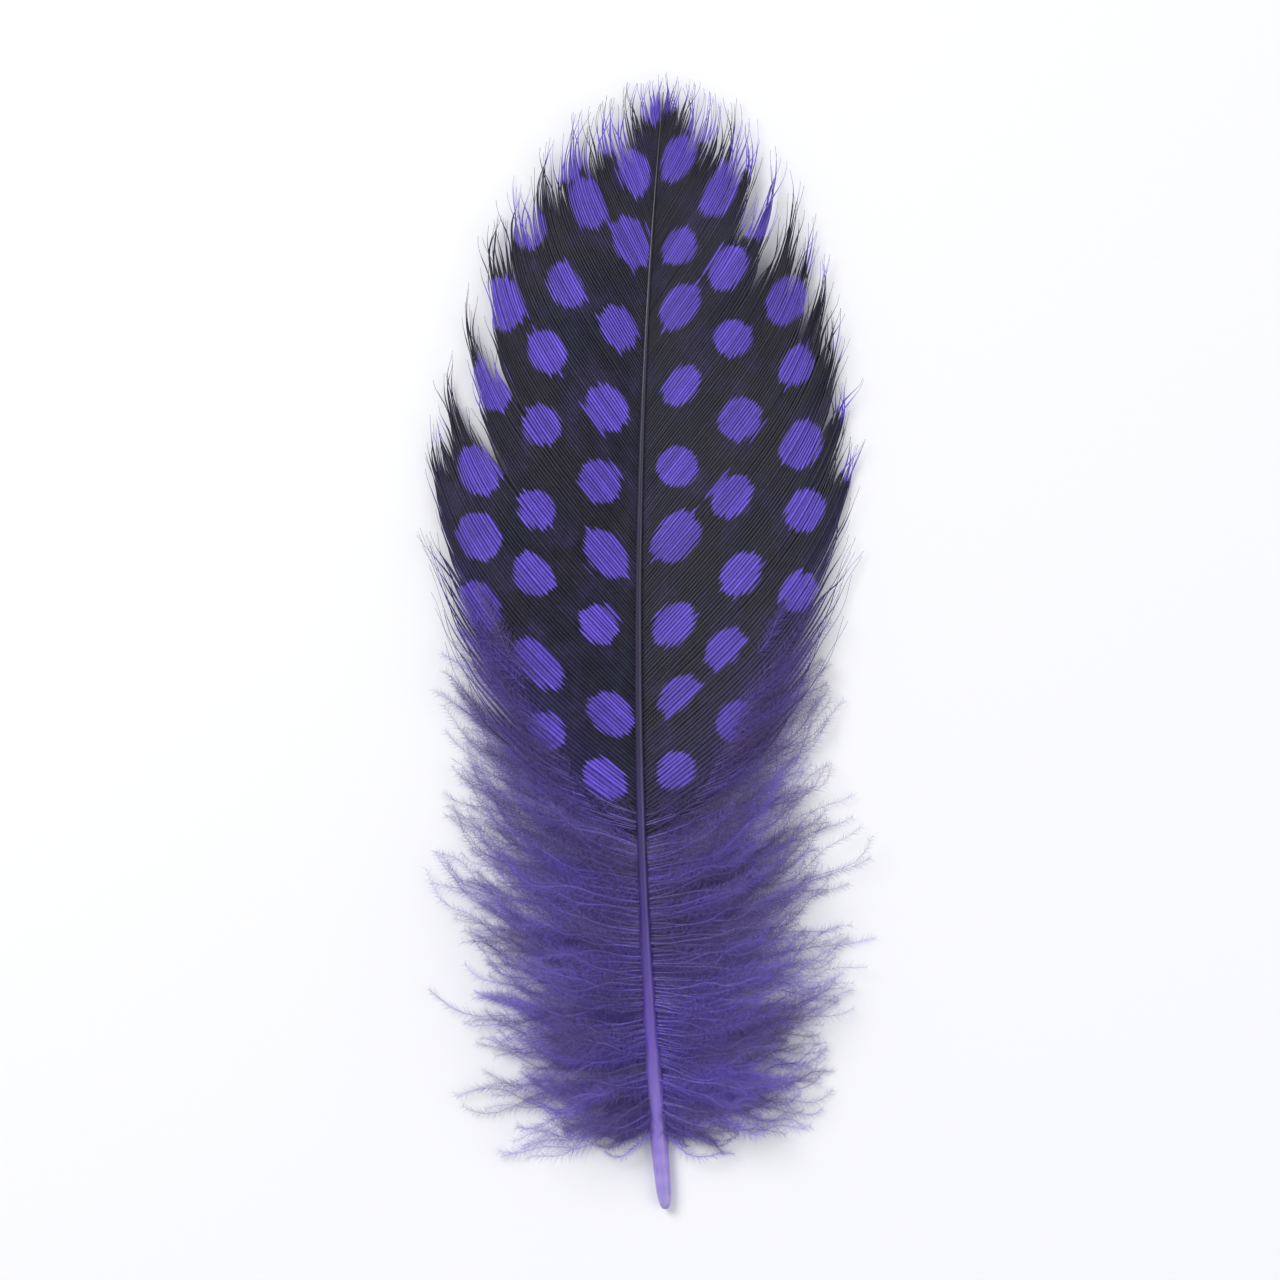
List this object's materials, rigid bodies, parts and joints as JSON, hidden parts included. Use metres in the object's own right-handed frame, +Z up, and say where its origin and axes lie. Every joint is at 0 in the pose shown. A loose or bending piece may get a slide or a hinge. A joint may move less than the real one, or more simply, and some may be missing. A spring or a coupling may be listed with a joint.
{
  "type": "guinea fowl feather",
  "caption": "Dyed guinea fowl body feather lying flat: bare quill, curved shaft, rounded spotted vane, fluffy down at its foot and a downy afterfeather underneath.",
  "frame": {"origin": "on the surface the feather lies on, under the middle of its bounding box", "axes": "+Y from the quill's end to the feather's tip, +Z up out of the spotted upper side, +X across the vane"},
  "size_m": [0.052, 0.135, 0.0072],
  "materials": {
    "feather": "dyed feather keratin: near-black web with violet spots, soft violet down and a smooth horny shaft"
  },
  "bodies": {
    "root": {"feather": "feather"}
  },
  "joints": []
}
